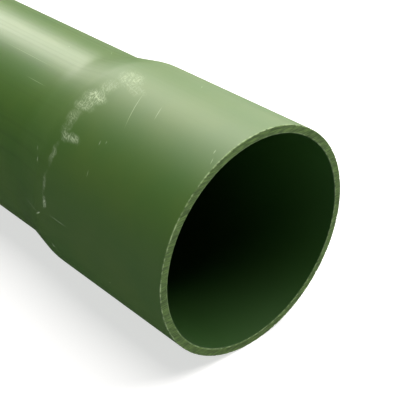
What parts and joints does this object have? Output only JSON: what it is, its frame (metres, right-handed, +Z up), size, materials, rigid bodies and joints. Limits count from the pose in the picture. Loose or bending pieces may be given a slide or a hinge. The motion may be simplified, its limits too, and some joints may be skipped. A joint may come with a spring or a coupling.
{
  "type": "belled pvc conduit pipe",
  "caption": "Straight green PVC electrical conduit pipe with a plain spigot on one end and a wider formed socket on the other, which takes the next length.",
  "frame": {"origin": "on the pipe's axis, in the plane of the socket's mouth", "axes": "+X along the axis, out of the socket's mouth; +Z up, with the pipe lying on its side; the floor is at Z = -61.65 mm, under the socket"},
  "size_m": [3, 0.123, 0.1234],
  "materials": {
    "green_pvc": "extruded rigid PVC, dark green, satin, with handling scuffs and a rough-sawn mouth"
  },
  "bodies": {
    "root": {"conduit_pipe": "green_pvc"}
  },
  "joints": []
}
